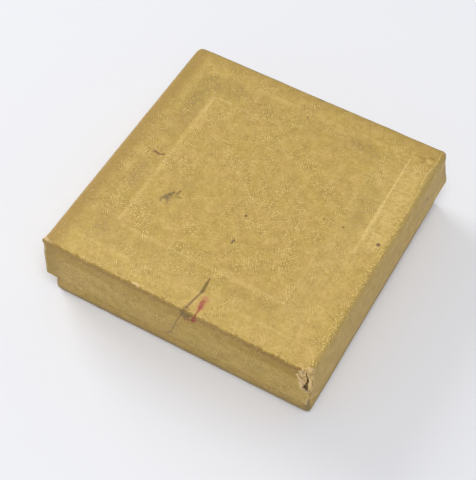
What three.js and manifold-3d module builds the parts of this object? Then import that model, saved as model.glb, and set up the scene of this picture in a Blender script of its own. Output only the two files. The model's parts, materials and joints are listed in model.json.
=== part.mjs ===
// Square coin presentation box: a lift-off lid that telescopes over a base with a velvet coin fitting.
// Millimetres, +Z up. The origin is on the table under the lid's middle, and the front wall faces -Y.
// Lid and base are folded chipboard trays with paper stays on their corners and gold paper over them.
import * as THREE from 'three';
import { mergeVertices } from 'three/addons/utils/BufferGeometryUtils.js';
import Module from 'manifold-3d';

const wasm = await Module();
wasm.setup();

// Outside sizes of the closed box
const LID_SIDE = 64; // across the lid's covered walls
const LID_HEIGHT = 12.4; // from the lid's lower edge to its top face
const BOX_HEIGHT = 17.6; // from the table to the lid's top face

// Thicknesses of the stock
const BOARD = 0.4; // chipboard of the folded trays
const PAPER = 0.08; // gold covering paper
const STAY = 0.06; // paper stay over a tray corner
const PAD_CARD = 0.5; // card behind the lid's pad
const SATIN = 0.2; // cloth of the lid's pad
const VELVET = 0.5; // cloth and pile of the coin fitting
const GLUE = 0.02; // film between two layers

// Folds and turn-ins
const FOLD_INSIDE = 0.1; // inside radius of a folded board
const LID_TURN_IN = 7; // lid paper up inside the wall
const BASE_TURN_IN = 5; // base paper down inside the wall
const BASE_TURN_UNDER = 8; // base paper in under the bottom
const BOTTOM_PAPER_INSET = 1.5; // bottom sheet short of the base's walls
const SATIN_TURN_IN = 5; // satin over the back of its card
const VELVET_TURN_DOWN = 4; // velvet down the platform's sides
const CORNER_SLIT = 0.3; // open corner between two folded walls
const STAY_REACH = 5; // stay along each wall from the corner
const STAY_SHORT = 0.6; // stay short of the wall's edge

// Clearances
const LID_PLAY = 0.3; // loose gap on each side between a centred lid and the base
const LID_SNUG = 0.04; // gap left on the two sides that the loose lid lies against
const SEAT_GAP = 0.05; // lid ceiling over the base's rim
const INSERT_PLAY = 0.3; // coin fitting to the base's turned-in paper
const PAD_PLAY = 0.3; // lid's pad to the base's turned-in paper, at its nearest
const PAD_GAP = 0.8; // lid's pad over the coin fitting

// Sunk square frame pressed into the lid
const FRAME_OUTER = 53.2; // outer upper edge, across
const FRAME_INNER = 40.4; // inner upper edge, across
const FRAME_DEPTH = 0.14;
const FRAME_BEVEL = 0.9; // width of each sloping side

// Pad in the lid
const WADDING = 1.5; // at the middle of the pad
const PAD_CROWN = 0.6; // thinner than that at the pad's edge
const PAD_EDGE = 0.5; // radius of the wadding's lower edge
const PAD_CORNER = 1.5; // upright corners of the pad

// Coin fitting
const COIN_DIAMETER = 38.6; // crown-size coin
const COIN_PLAY = 0.5; // coin to the velvet wall
const WELL_DEPTH = 3.6; // from the velvet top to the velvet floor
const WELL_LIP = 0.8; // radius of the velvet over the well's rim
const WELL_FOOT = 0.6; // radius of the velvet at the well's floor
const VELVET_EDGE = 0.7; // radius of the velvet over the platform's edge
const STOOL_MARGIN = 1.5; // stool beyond the well's ring
const HOOP_SEAM = 0.4; // gap where the hoop's ends meet

// Fineness of the curves
const CORNER_STEPS = 4; // per upright corner
const FILLET_STEPS = 3; // per fold
const CROWN_STEPS = 4; // across the pad's crown
const ROUND_STEPS = 60; // round the coin well
const SHARPEST = 0.08; // smallest corner radius of an inner wall
const WELD = 1e-4; // points closer than this are one point
const OVERLAP = 0.6; // shared ring where two velvet areas run into one another
const PAST = 1; // how far a cutting tool runs past what it cuts

// Widths are half widths from the middle to a wall
const skin = GLUE + STAY + GLUE; // from board to paper, where the stays lie
const boardCorner = BOARD + FOLD_INSIDE; // outside radius of a folded board
const paperCorner = boardCorner + skin + PAPER;
const crease = PAPER + 3 * GLUE; // paper turned over a cut edge, clear of the edge's square corners
const wallStack = PAPER + skin + BOARD + GLUE + PAPER; // covered wall with its turn-in
const lidWidth = LID_SIDE / 2;
const lidBoardWidth = lidWidth - PAPER - skin;
const lidInsideWidth = lidWidth - wallStack;
const baseWidth = lidInsideWidth - LID_PLAY;
const baseBoardWidth = baseWidth - PAPER - skin;
const baseInsideWidth = baseWidth - wallStack;
const lidShift = LID_PLAY - LID_SNUG; // the loose lid lies this far back and left on the base
const padWidth = baseInsideWidth - lidShift - PAD_PLAY;
const padCardWidth = padWidth - SATIN - GLUE;
const insertWidth = baseInsideWidth - INSERT_PLAY;
const platformWidth = insertWidth - VELVET - GLUE;
const wellRadius = COIN_DIAMETER / 2 + COIN_PLAY;
const ringInside = wellRadius + VELVET + GLUE;
const ringOutside = ringInside + BOARD;
const stoolWidth = ringOutside + STOOL_MARGIN;

// Levels from the table up to the lid's top face
const turnUnderBottom = PAPER + GLUE;
const baseBoardBottom = turnUnderBottom + PAPER + GLUE;
const baseFloor = baseBoardBottom + BOARD;
const lidBottom = BOX_HEIGHT - LID_HEIGHT;
const lidBoardTop = BOX_HEIGHT - PAPER - GLUE;
const lidBoardBottom = lidBottom + PAPER + GLUE;
const lidCeiling = lidBoardTop - BOARD;
const rim = lidCeiling - SEAT_GAP;
const baseBoardTop = rim - PAPER - GLUE;
const padTop = lidCeiling - FRAME_DEPTH - GLUE;
const padCardTop = padTop - SATIN - GLUE;
const waddingTop = padCardTop - PAD_CARD - GLUE;
const padBottom = waddingTop - WADDING - GLUE - SATIN;
const insertTop = padBottom - PAD_GAP;
const platformTop = insertTop - VELVET - GLUE;
const wellFloor = insertTop - WELL_DEPTH;
const stoolTop = wellFloor - VELVET - GLUE;

/** Rounds the corners [width, level, radius] of a section line with arcs. */
function filletedPath(corners) {
  const vertices = corners.map(([width, level]) => new THREE.Vector2(width, level));
  const path = [];
  corners.forEach(([, , radius = 0], index) => {
    const vertex = vertices[index];
    if (radius === 0) {
      path.push(vertex);
      return;
    }
    const back = vertices[index - 1].clone().sub(vertex).normalize();
    const ahead = vertices[index + 1].clone().sub(vertex).normalize();
    const halfAngle = Math.acos(back.dot(ahead)) / 2;
    const bisector = back.clone().add(ahead).normalize();
    const centre = vertex.clone().addScaledVector(bisector, radius / Math.sin(halfAngle));
    const start = vertex.clone().addScaledVector(back, radius / Math.tan(halfAngle));
    const turn = Math.sign(ahead.cross(back)) * (Math.PI - 2 * halfAngle);
    for (let step = 0; step <= FILLET_STEPS; step++) {
      path.push(start.clone().rotateAround(centre, (turn * step) / FILLET_STEPS));
    }
  });
  return path;
}

/** Unit vector to the right of the way from one section point to the next. */
function rightOf(from, to) {
  const way = to.clone().sub(from).normalize();
  return new THREE.Vector2(way.y, -way.x);
}

/** Section of a sheet: the path along its one face, and back along the other face to the path's right. */
function sheetSection(path, thickness) {
  const normals = path.slice(1).map((point, index) => rightOf(path[index], point));
  const first = normals[0];
  // A path that starts on the axis meets its mirror image there
  const beforeFirst = path[0].x === 0 ? new THREE.Vector2(-first.x, first.y) : first;
  const otherFace = path.map((point, index) => {
    const before = index === 0 ? beforeFirst : normals[index - 1];
    const after = normals[index] ?? before;
    const mitre = before.clone().add(after);
    return point.clone().addScaledVector(mitre, thickness / (1 + before.dot(after)));
  });
  return [...path, ...otherFace.reverse()];
}

/** Points of a rounded square, anticlockwise from above, or the one point that it shrinks to on the axis. */
function squareRing(width, level, radius) {
  if (width === 0) {
    return [new THREE.Vector3(0, 0, level)];
  }
  const ring = [];
  for (let corner = 0; corner < 4; corner++) {
    const sideX = corner === 0 || corner === 3 ? 1 : -1;
    const sideY = corner < 2 ? 1 : -1;
    for (let step = 0; step <= CORNER_STEPS; step++) {
      const angle = ((corner + step / CORNER_STEPS) * Math.PI) / 2;
      const x = sideX * (width - radius) + radius * Math.cos(angle);
      const y = sideY * (width - radius) + radius * Math.sin(angle);
      ring.push(new THREE.Vector3(x, y, level));
    }
  }
  return ring;
}

/** Carries a section round a rounded square. It starts and ends on the axis or closes on itself. */
function squareSweep(section, cornerRadius) {
  const outermost = Math.max(...section.map((point) => point.x));
  const rings = section.map((point) => {
    const radius = Math.max(cornerRadius - outermost + point.x, SHARPEST);
    return squareRing(point.x, point.y, radius);
  });
  const pointsRound = 4 * (CORNER_STEPS + 1);
  const onAxis = section[0].x === 0;
  const spans = onAxis ? rings.length - 1 : rings.length;
  const triangles = [];
  for (let span = 0; span < spans; span++) {
    const upper = rings[span];
    const lower = rings[(span + 1) % rings.length];
    for (let here = 0; here < pointsRound; here++) {
      const next = (here + 1) % pointsRound;
      if (upper.length > 1) {
        triangles.push(upper[here], lower[here % lower.length], upper[next]);
      }
      if (lower.length > 1) {
        triangles.push(upper[next % upper.length], lower[here], lower[next]);
      }
    }
  }
  return new THREE.BufferGeometry().setFromPoints(triangles);
}

/** Turns a closed section round the Z axis. */
function roundSweep(section) {
  const closed = section[0].x === 0 ? section : [...section, section[0]];
  const lathe = new THREE.LatheGeometry([...closed].reverse(), ROUND_STEPS);
  return lathe.rotateX(Math.PI / 2);
}

/** Closed geometry as a solid that can be cut and joined. */
function solidFrom(geometry) {
  const bare = geometry.clone();
  bare.deleteAttribute('normal');
  bare.deleteAttribute('uv');
  const welded = mergeVertices(bare, WELD);
  return new wasm.Manifold(
    new wasm.Mesh({
      numProp: 3,
      vertProperties: welded.attributes.position.array,
      triVerts: new Uint32Array(welded.index.array),
    }),
  );
}

/** Geometry of a solid that has been cut or joined. */
function geometryFrom(solid) {
  const { vertProperties, triVerts } = solid.getMesh();
  const geometry = new THREE.BufferGeometry();
  geometry.setAttribute('position', new THREE.BufferAttribute(vertProperties, 3));
  geometry.setIndex(new THREE.BufferAttribute(triVerts, 1));
  return geometry;
}

/** Upright cylinder that cuts a round hole. */
function holeCutter(radius, bottom, top) {
  const cutter = new THREE.CylinderGeometry(radius, radius, top - bottom, ROUND_STEPS);
  return solidFrom(cutter.rotateX(Math.PI / 2).translate(0, 0, (bottom + top) / 2));
}

/** Cuts the walls of a folded tray apart at its four corners, as its blank is, half into the fold. */
function slitCorners(tray, width, bottom, top) {
  const inward = BOARD * Math.SQRT2 + CORNER_SLIT;
  let slit = tray;
  for (let corner = 0; corner < 4; corner++) {
    const blade = new THREE.BoxGeometry(inward + PAST, CORNER_SLIT, top - bottom);
    blade.translate((PAST - inward) / 2, 0, (bottom + top) / 2);
    blade.rotateZ(Math.PI / 4);
    blade.translate(width, width, 0);
    blade.rotateZ((corner * Math.PI) / 2);
    slit = slit.subtract(solidFrom(blade));
  }
  return slit;
}

/** Folded board tray, open downwards, from the path along its outside. */
function invertedTray(path, bottom) {
  const width = path[path.length - 1].x;
  const halfFold = path[0].y - BOARD / 2;
  const tray = squareSweep(sheetSection(path, BOARD), boardCorner);
  return slitCorners(solidFrom(tray), width, bottom - PAST, halfFold);
}

/** The lid's outer line from its middle to the top edge, sunk where the frame is pressed. */
function lidTopCorners(level) {
  return [
    [0, level],
    [FRAME_INNER / 2, level],
    [FRAME_INNER / 2 + FRAME_BEVEL, level - FRAME_DEPTH],
    [FRAME_OUTER / 2 - FRAME_BEVEL, level - FRAME_DEPTH],
    [FRAME_OUTER / 2, level],
  ];
}

function lidCoverPaper() {
  const path = filletedPath([
    ...lidTopCorners(BOX_HEIGHT),
    [lidWidth, BOX_HEIGHT, boardCorner + GLUE + PAPER],
    [lidWidth, lidBottom, crease],
    [lidInsideWidth, lidBottom, crease],
    [lidInsideWidth, lidBottom + LID_TURN_IN],
  ]);
  return squareSweep(sheetSection(path, PAPER), paperCorner);
}

function lidBoard() {
  const path = filletedPath([
    ...lidTopCorners(lidBoardTop),
    [lidBoardWidth, lidBoardTop, boardCorner],
    [lidBoardWidth, lidBoardBottom],
  ]);
  return geometryFrom(invertedTray(path, lidBoardBottom));
}

/** Paper stay round one upright corner of a tray, at the +X +Y corner. */
function cornerStay(boardWidth, bottom, top) {
  const insideRadius = boardCorner + GLUE;
  const outsideRadius = insideRadius + STAY;
  const middle = boardWidth - boardCorner;
  const inside = middle + insideRadius;
  const outside = middle + outsideRadius;
  const end = middle - STAY_REACH;
  const band = new THREE.Shape();
  band.moveTo(outside, end);
  band.absarc(middle, middle, outsideRadius, 0, Math.PI / 2, false);
  band.lineTo(end, outside);
  band.lineTo(end, inside);
  band.absarc(middle, middle, insideRadius, Math.PI / 2, 0, true);
  band.lineTo(inside, end);
  const stay = new THREE.ExtrudeGeometry(band, {
    depth: top - bottom,
    bevelEnabled: false,
    curveSegments: CORNER_STEPS,
  });
  return stay.translate(0, 0, bottom);
}

function lidPadCard() {
  const section = [
    [0, padCardTop],
    [padCardWidth, padCardTop],
    [padCardWidth, padCardTop - PAD_CARD],
    [0, padCardTop - PAD_CARD],
  ];
  return squareSweep(filletedPath(section), PAD_CORNER - SATIN - GLUE);
}

/** The pad's crowned lower face from its middle to its edge, lowered by a gap. */
function padCrown(gap) {
  const edge = padCardWidth + gap;
  const corners = [];
  for (let step = 0; step <= CROWN_STEPS; step++) {
    const share = step / CROWN_STEPS;
    const radius = step === CROWN_STEPS ? PAD_EDGE + gap : 0;
    corners.push([share * edge, waddingTop - WADDING + PAD_CROWN * share ** 2 - gap, radius]);
  }
  return corners;
}

function lidPadWadding() {
  const crown = filletedPath([...padCrown(0), [padCardWidth, waddingTop]]);
  const section = [new THREE.Vector2(0, waddingTop), ...crown.reverse()];
  return squareSweep(section, PAD_CORNER - SATIN - GLUE);
}

function lidPadSatin() {
  const inside = padCardWidth + GLUE;
  const path = filletedPath([
    ...padCrown(GLUE),
    [inside, padCardTop + GLUE],
    [inside - SATIN_TURN_IN, padCardTop + GLUE],
  ]);
  return squareSweep(sheetSection(path, SATIN), PAD_CORNER);
}

function baseBoard() {
  const inside = baseBoardWidth - BOARD;
  const path = filletedPath([
    [0, baseFloor],
    [inside, baseFloor, FOLD_INSIDE],
    [inside, baseBoardTop],
  ]);
  const halfFold = baseFloor - BOARD / 2;
  const tray = squareSweep(sheetSection(path, BOARD), boardCorner);
  return geometryFrom(slitCorners(solidFrom(tray), baseBoardWidth, halfFold, baseBoardTop + PAST));
}

function baseCoverPaper() {
  const path = filletedPath([
    [baseInsideWidth, rim - BASE_TURN_IN],
    [baseInsideWidth, rim, crease],
    [baseWidth, rim, crease],
    [baseWidth, turnUnderBottom, boardCorner + GLUE + PAPER],
    [baseWidth - BASE_TURN_UNDER, turnUnderBottom],
  ]);
  return squareSweep(sheetSection(path, PAPER), paperCorner);
}

function baseBottomPaper() {
  const width = baseWidth - BOTTOM_PAPER_INSET;
  const section = [
    [0, PAPER],
    [width, PAPER],
    [width, 0],
    [0, 0],
  ];
  return squareSweep(filletedPath(section), paperCorner);
}

function insertPlatform() {
  const bottom = baseFloor + GLUE;
  const path = filletedPath([
    [0, platformTop],
    [platformWidth, platformTop, boardCorner],
    [platformWidth, bottom],
  ]);
  const hole = holeCutter(wellRadius + WELL_LIP, platformTop - BOARD - PAST, platformTop + PAST);
  return geometryFrom(invertedTray(path, bottom).subtract(hole));
}

function coinWellStool() {
  const bottom = baseFloor + GLUE;
  const path = filletedPath([
    [0, stoolTop],
    [stoolWidth, stoolTop, boardCorner],
    [stoolWidth, bottom],
  ]);
  return geometryFrom(invertedTray(path, bottom));
}

/** Strip of card rolled into a hoop, with its two ends meeting at the back. */
function coinWellRing() {
  const bottom = stoolTop + GLUE;
  const top = platformTop - BOARD - GLUE;
  const section = filletedPath([
    [ringInside, top],
    [ringOutside, top],
    [ringOutside, bottom],
    [ringInside, bottom],
  ]);
  const seam = new THREE.BoxGeometry(HOOP_SEAM, BOARD * 4, top - bottom + 2 * PAST);
  seam.translate(0, ringInside + BOARD / 2, (bottom + top) / 2);
  return geometryFrom(solidFrom(roundSweep(section)).subtract(solidFrom(seam)));
}

/** One cloth over the platform, down its sides, over the lip and across the floor of the well. */
function insertVelvet() {
  const coverPath = filletedPath([
    [0, insertTop],
    [insertWidth, insertTop, VELVET_EDGE],
    [insertWidth, insertTop - VELVET_TURN_DOWN],
  ]);
  const cupPath = filletedPath([
    [0, wellFloor],
    [wellRadius, wellFloor, WELL_FOOT],
    [wellRadius, insertTop, WELL_LIP],
    [wellRadius + WELL_LIP + OVERLAP, insertTop],
  ]);
  const cover = solidFrom(squareSweep(sheetSection(coverPath, VELVET), boardCorner + GLUE + VELVET));
  const cup = solidFrom(roundSweep(sheetSection(cupPath, VELVET)));
  const hole = holeCutter(wellRadius + WELL_LIP + OVERLAP / 2, insertTop - VELVET - PAST, insertTop + PAST);
  return geometryFrom(cover.subtract(hole).add(cup));
}

/** Colour, roughness and metalness of each stock. */
const FINISHES = {
  goldPaper: { color: 0xc4a763, roughness: 0.55, metalness: 0.25 },
  chipboard: { color: 0x9c8a6c, roughness: 0.95, metalness: 0 },
  stayPaper: { color: 0xc9b48c, roughness: 0.9, metalness: 0 },
  bottomPaper: { color: 0xd8cfb8, roughness: 0.85, metalness: 0 },
  wadding: { color: 0xece6d6, roughness: 1, metalness: 0 },
  satin: { color: 0xe9dfc6, roughness: 0.4, metalness: 0 },
  velvet: { color: 0x1f2a5c, roughness: 0.9, metalness: 0 },
};

function piece(name, geometry, finish) {
  geometry.computeVertexNormals();
  const mesh = new THREE.Mesh(geometry, new THREE.MeshStandardMaterial(FINISHES[finish]));
  mesh.name = name;
  return mesh;
}

/** The four stays of one tray, one on each upright corner. */
function cornerStays(prefix, boardWidth, bottom, top) {
  return [0, 1, 2, 3].map((corner) => {
    const stay = piece(`${prefix}_corner_stay_${corner + 1}`, cornerStay(boardWidth, bottom, top), 'stayPaper');
    stay.rotation.z = (corner * Math.PI) / 2;
    return stay;
  });
}

const lid = new THREE.Group();
lid.add(
  piece('lid_cover_paper', lidCoverPaper(), 'goldPaper'),
  piece('lid_board', lidBoard(), 'chipboard'),
  ...cornerStays('lid', lidBoardWidth, lidBoardBottom + STAY_SHORT, lidBoardTop - boardCorner),
  piece('lid_pad_card', lidPadCard(), 'chipboard'),
  piece('lid_pad_wadding', lidPadWadding(), 'wadding'),
  piece('lid_pad_satin', lidPadSatin(), 'satin'),
);

const base = new THREE.Group();
base.position.set(lidShift, -lidShift, 0);
base.add(
  piece('base_cover_paper', baseCoverPaper(), 'goldPaper'),
  piece('base_board', baseBoard(), 'chipboard'),
  ...cornerStays('base', baseBoardWidth, baseBoardBottom + boardCorner, baseBoardTop - STAY_SHORT),
  piece('base_bottom_paper', baseBottomPaper(), 'bottomPaper'),
  piece('insert_platform', insertPlatform(), 'chipboard'),
  piece('coin_well_stool', coinWellStool(), 'chipboard'),
  piece('coin_well_ring', coinWellRing(), 'chipboard'),
  piece('insert_velvet', insertVelvet(), 'velvet'),
);

const coinBox = new THREE.Group();
coinBox.add(base, lid);

export default coinBox;
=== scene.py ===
"""Worn gold paper coin box: papers, boards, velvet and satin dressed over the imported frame."""
import json
import math

import bmesh
import bpy
import numpy as np
from mathutils import Matrix, Vector, noise


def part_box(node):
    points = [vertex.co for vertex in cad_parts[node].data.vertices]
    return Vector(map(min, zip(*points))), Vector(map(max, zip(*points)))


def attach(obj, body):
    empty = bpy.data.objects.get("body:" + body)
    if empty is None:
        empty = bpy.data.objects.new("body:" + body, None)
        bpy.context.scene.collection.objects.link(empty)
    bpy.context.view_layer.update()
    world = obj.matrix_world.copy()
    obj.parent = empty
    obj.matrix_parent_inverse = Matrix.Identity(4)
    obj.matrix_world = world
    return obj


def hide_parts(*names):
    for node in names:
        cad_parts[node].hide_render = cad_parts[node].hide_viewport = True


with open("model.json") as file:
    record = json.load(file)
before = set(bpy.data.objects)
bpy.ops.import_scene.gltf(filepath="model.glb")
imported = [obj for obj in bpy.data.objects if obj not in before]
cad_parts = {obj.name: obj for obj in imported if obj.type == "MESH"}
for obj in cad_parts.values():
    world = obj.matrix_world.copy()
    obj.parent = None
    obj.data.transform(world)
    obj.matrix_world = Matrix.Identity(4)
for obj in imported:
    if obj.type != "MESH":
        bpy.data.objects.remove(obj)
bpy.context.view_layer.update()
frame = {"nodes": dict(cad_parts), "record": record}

# Lengths are millimetres until a mesh is written, which is in metres
MM = 0.001

# Stock and sizes, as in the frame
PAPER = 0.08
BOARD = 0.4
STAY = 0.06
GLUE = 0.02
SKIN = GLUE + STAY + GLUE
WALL = PAPER + SKIN + BOARD + GLUE + PAPER
BOARD_CORNER = 0.5
PAPER_CORNER = BOARD_CORNER + SKIN + PAPER
PAPER_EDGE = BOARD_CORNER + GLUE + PAPER
CREASE = PAPER + 3 * GLUE
LID_TURN_IN = 7.0
BASE_TURN_IN = 5.0
BASE_TURN_UNDER = 8.0
STAY_REACH = 5.0
STAY_SHORT = 0.6
SHARPEST = 0.05

# Sunk frame on the lid, pressed a little left of the middle
FRAME_INNER = 20.2
FRAME_OUTER = 26.6
FRAME_BEVEL = 0.9
FRAME_DEPTH = 0.09
FRAME_SHIFT = -0.65


def frame_box(node):
    """A node's lowest and highest corner in millimetres."""
    low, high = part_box(node)
    return np.array(low) / MM, np.array(high) / MM


lid_low, lid_high = frame_box("lid_cover_paper")
base_low, base_high = frame_box("base_cover_paper")
LID_HALF = lid_high[0]
LID_TOP = lid_high[2]
LID_BOTTOM = lid_low[2]
BASE_HALF = (base_high[0] - base_low[0]) / 2
BASE_CENTRE = (base_low + base_high) / 2
BASE_RIM = base_high[2]
BASE_BOTTOM = base_low[2]

# Camera, at the photograph's viewing angle
CAMERA_AZIMUTH = math.radians(30.10)
CAMERA_ELEVATION = math.radians(55.30)
CAMERA_DISTANCE = 284.86
CAMERA_LEFT = 2.717
CAMERA_UP = 0.449
CAMERA_LENS = 94.3

to_right = Vector((math.cos(CAMERA_AZIMUTH), math.sin(CAMERA_AZIMUTH), 0))
to_camera = Vector((
    math.sin(CAMERA_AZIMUTH) * math.cos(CAMERA_ELEVATION),
    -math.cos(CAMERA_AZIMUTH) * math.cos(CAMERA_ELEVATION),
    math.sin(CAMERA_ELEVATION),
))
to_top = to_camera.cross(to_right)
camera_data = bpy.data.cameras.new("camera")
camera_data.lens = CAMERA_LENS
camera_data.sensor_width = 36
camera_data.clip_start = 0.01
camera_data.clip_end = 20
camera = bpy.data.objects.new("camera", camera_data)
camera.rotation_mode = "QUATERNION"
camera.rotation_quaternion = (-to_camera).to_track_quat("-Z", "Y")
camera.location = (to_camera * CAMERA_DISTANCE - to_right * CAMERA_LEFT + to_top * CAMERA_UP) * MM
bpy.context.collection.objects.link(camera)
bpy.context.scene.camera = camera
bpy.context.scene.view_settings.view_transform = "Standard"


# Small helpers for numbers and noise
def ease(low, high, value):
    """Smooth step from 0 at low to 1 at high."""
    share = min(max((value - low) / (high - low), 0.0), 1.0)
    return share * share * (3 - 2 * share)


def bell(squared, radius):
    """From 1 where the squared distance is nothing down to 0 well beyond the radius."""
    return math.exp(-squared / radius ** 2)


def ripple(point, size, seed=0.0):
    """Perlin noise from -1 to 1 whose lumps are about this size across."""
    return noise.noise(Vector((point[0] / size + seed, point[1] / size - seed, point[2] / size)))


# Section paths and sweeps
def rounded_path(corners, steps):
    """Section line through corners (half width, level, radius) with its corners rounded."""
    points = [np.array(corner[:2], float) for corner in corners]
    path = []
    for index, corner in enumerate(corners):
        radius = corner[2] if len(corner) > 2 else 0
        point = points[index]
        if radius == 0:
            path.append(point)
            continue
        back = points[index - 1] - point
        ahead = points[index + 1] - point
        back = back / np.linalg.norm(back)
        ahead = ahead / np.linalg.norm(ahead)
        half_angle = math.acos(np.clip(back @ ahead, -1, 1)) / 2
        bisector = (back + ahead) / np.linalg.norm(back + ahead)
        centre = point + bisector * radius / math.sin(half_angle)
        start = point + back * radius / math.tan(half_angle) - centre
        turn = math.copysign(math.pi - 2 * half_angle, ahead[0] * back[1] - ahead[1] * back[0])
        for step in range(steps + 1):
            angle = turn * step / steps
            cosine, sine = math.cos(angle), math.sin(angle)
            turned = (start[0] * cosine - start[1] * sine, start[0] * sine + start[1] * cosine)
            path.append(centre + turned)
    return path


def spaced_path(path, spacing, wide=None):
    """The same line with points added at the spacing, or at the wide one on level parts."""
    spaced = [path[0]]
    for before, after in zip(path, path[1:]):
        apart = wide if wide and after[1] == before[1] else spacing
        parts = max(1, math.ceil(np.linalg.norm(after - before) / apart))
        spaced.extend(before + (after - before) * part / parts for part in range(1, parts + 1))
    return spaced


def square_ring(half, radius, side_steps, corner_steps):
    """Points of a rounded square, anticlockwise from its +X side, closer together near its corners."""
    radius = min(radius, half)
    points = []
    for corner in range(4):
        sign_x = 1 if corner in (0, 3) else -1
        sign_y = 1 if corner < 2 else -1
        middle = np.array([sign_x, sign_y]) * (half - radius)
        for step in range(corner_steps + 1):
            angle = (corner + step / corner_steps) * math.pi / 2
            points.append(middle + radius * np.array([math.cos(angle), math.sin(angle)]))
        start = points[-1]
        turned = np.array([-middle[1], middle[0]])
        end_angle = (corner + 1) * math.pi / 2
        end = turned + radius * np.array([math.cos(end_angle), math.sin(end_angle)])
        for step in range(1, side_steps):
            even = step / side_steps
            share = 0.5 * even + 0.25 * (1 - math.cos(math.pi * even))
            points.append(start + (end - start) * share)
    return points


def stitch(sheet, rings):
    """Faces between rings of points that follow one another. A ring of one point closes to a fan."""
    around = max(len(ring) for ring in rings)
    for inner, outer in zip(rings, rings[1:]):
        for place in range(around):
            after = (place + 1) % around
            if len(inner) == 1:
                sheet.faces.new((inner[0], outer[place], outer[after]))
            elif len(outer) == 1:
                sheet.faces.new((inner[place], outer[0], inner[after]))
            else:
                sheet.faces.new((inner[place], outer[place], outer[after], inner[after]))


def swept_sheet(path, corner_radius, side_steps, corner_steps):
    """A sheet swept round a rounded square, with each point's place on the flat sheet in a layer."""
    sheet = bmesh.new()
    flat_layer = sheet.verts.layers.float_vector.new("flat")
    outermost = max(point[0] for point in path)
    edge = outermost - corner_radius
    rings = []
    run = 0.0
    for index, (half, level) in enumerate(path):
        if index and path[index - 1][0] >= edge:
            run += np.linalg.norm(path[index] - path[index - 1])
        if half == 0:
            rings.append([sheet.verts.new((0, 0, level))])
            continue
        ring = []
        radius = max(corner_radius - outermost + half, SHARPEST)
        for x, y in square_ring(half, radius, side_steps, corner_steps):
            vert = sheet.verts.new((x, y, level))
            flat = [x, y]
            if half >= edge and run > 0:
                across = 0 if abs(x) >= abs(y) else 1
                flat[across] = math.copysign(edge + run, flat[across])
            vert[flat_layer] = (flat[0], flat[1], 0)
            ring.append(vert)
        rings.append(ring)
    stitch(sheet, rings)
    return sheet


def refine(sheet, centre, radius, cuts):
    """Cuts the faces round a point finer."""
    centre = Vector(centre)
    near = [
        edge for edge in sheet.edges
        if all((vert.co - centre).length < radius for vert in edge.verts)
    ]
    bmesh.ops.subdivide_edges(sheet, edges=near, cuts=cuts, use_grid_fill=True)


def drop_faces(sheet, is_gone):
    """Deletes the faces whose middle passes the test, and the points that this leaves loose."""
    gone = [face for face in sheet.faces if is_gone(face.calc_center_median())]
    bmesh.ops.delete(sheet, geom=gone, context="FACES")
    loose = [vert for vert in sheet.verts if not vert.link_faces]
    bmesh.ops.delete(sheet, geom=loose, context="VERTS")


def write_object(name, sheet, materials, thickness=None, centre=(0, 0, 0)):
    """Turns millimetre mesh data into a smooth object, thickened inwards where it is a sheet."""
    for vert in sheet.verts:
        vert.co = (vert.co + Vector(centre)) * MM
    for face in sheet.faces:
        face.smooth = True
    mesh = bpy.data.meshes.new(name)
    sheet.to_mesh(mesh)
    sheet.free()
    thing = bpy.data.objects.new(name, mesh)
    bpy.context.collection.objects.link(thing)
    for material in materials:
        mesh.materials.append(material)
    if thickness:
        solidify = thing.modifiers.new("thickness", "SOLIDIFY")
        solidify.thickness = thickness * MM
        solidify.offset = -1
        solidify.material_offset_rim = min(1, len(materials) - 1)
    return thing


# Wear of the lid: one warp moves all its layers, so that they stay in order
TORN_CORNER = np.array([LID_HALF, -LID_HALF, LID_TOP])
CREASED_CORNER = np.array([LID_HALF, LID_HALF, LID_TOP])
BACK_CORNER = np.array([-LID_HALF, LID_HALF, LID_TOP])
BLUNT_CORNER = np.array([-LID_HALF, -LID_HALF, LID_TOP])
TEAR_MIDDLE = TORN_CORNER - [0, 0, 4]
# Reach of the tear along each wall, by depth under the lid's top
TEAR_ON_FRONT = ((0, 1.2, 2.5, 4.1, 7.0, 7.8), (1.7, 2.3, 2.5, 2.0, 1.6, 0.02))
TEAR_ON_RIGHT = ((0, 1.2, 5.4, 6.4, 7.2), (1.35, 0.95, 0.85, 0.5, 0.02))
SPLIT_WIDTH = ((0.8, 2.0, 4.0, 6.4, 7.8), (0.1, 0.22, 0.5, 1.1, 0.3))
SPLIT_PLACE = ((0.8, 3.8, 7.0, 7.8), (1.15, 0.85, 1.25, 1.6))
CHIP_WIDTH = 3.2
CHIP_HEIGHT = 3.4
LID_SPLAY = 0.36
EDGE_LIFT = 0.1
# Bent upright corners: corner, reach, depths where the bend starts and where it is full, and push
CORNER_BENDS = (
    # Blunt above a nick, and standing out below it with its hem bent up
    (CREASED_CORNER, 1.8, (4.7, 3.9), (-0.24, 0, 0)),
    (CREASED_CORNER, 3.5, (4.5, 13), (0.3, 0.66, 0)),
    (CREASED_CORNER, 4.2, (5, 12.4), (0, 0, 1.9)),
    # Rubbed round
    (BACK_CORNER, 1.2, (7, 1), (0.36, -0.4, 0)),
    # Sharply folded down its whole length, with its hem bent up
    (BLUNT_CORNER, 0.8, (-2, -1), (-0.24, -0.22, 0)),
    (BLUNT_CORNER, 1.8, (8, 12.4), (0, 0, 0.5)),
)


def tear_depth(point):
    """How far inside the torn corner a point of the lid's skin lies, about in millimetres."""
    down = LID_TOP - point[2]
    along_front = (LID_HALF - point[0]) / np.interp(down, *TEAR_ON_FRONT)
    along_right = (point[1] + LID_HALF) / np.interp(down, *TEAR_ON_RIGHT)
    jagged = 0.6 * ripple(point, 1.1, 3.7) + 0.6 * ripple(point, 0.42, 9.1)
    return 1.8 * (1 - along_front - along_right) + jagged


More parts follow.
